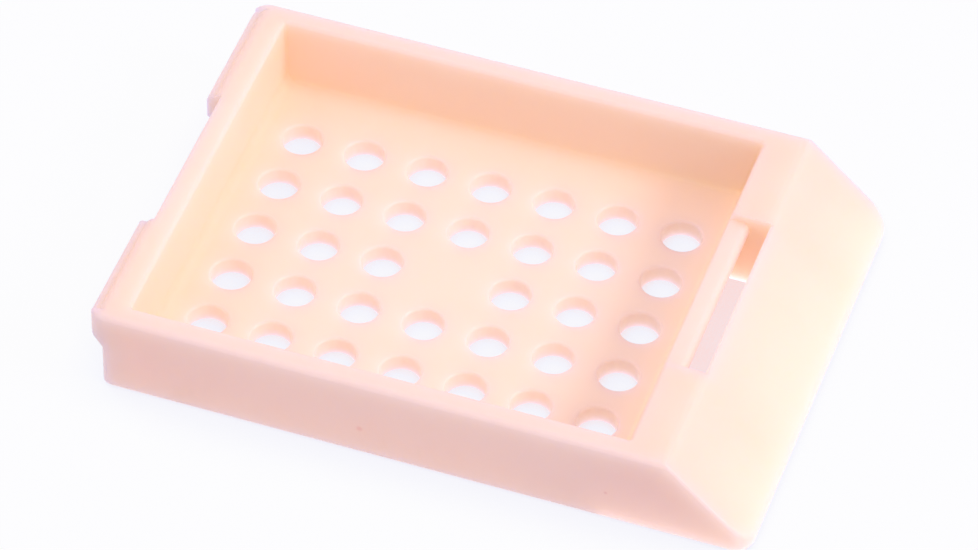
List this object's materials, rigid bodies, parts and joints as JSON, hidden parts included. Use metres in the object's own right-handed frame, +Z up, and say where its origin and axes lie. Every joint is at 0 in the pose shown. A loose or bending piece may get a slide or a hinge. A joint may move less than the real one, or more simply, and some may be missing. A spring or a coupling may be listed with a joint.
{
  "type": "tissue cassette",
  "caption": "Shallow moulded plastic tray with a perforated floor, a sloped writing face with a tab slot at one end and hinge lugs at the other.",
  "frame": {"origin": "in the plane of the underside, below the middle of the bounding box", "axes": "+X from the hinge lugs to the writing face, +Y across the cassette, +Z up out of the tray"},
  "size_m": [0.0408, 0.0286, 0.0059],
  "materials": {
    "cassette_plastic": "injection-moulded acetal, peach, fine satin, slightly translucent in thin walls"
  },
  "bodies": {
    "root": {"cassette_base": "cassette_plastic"}
  },
  "joints": []
}
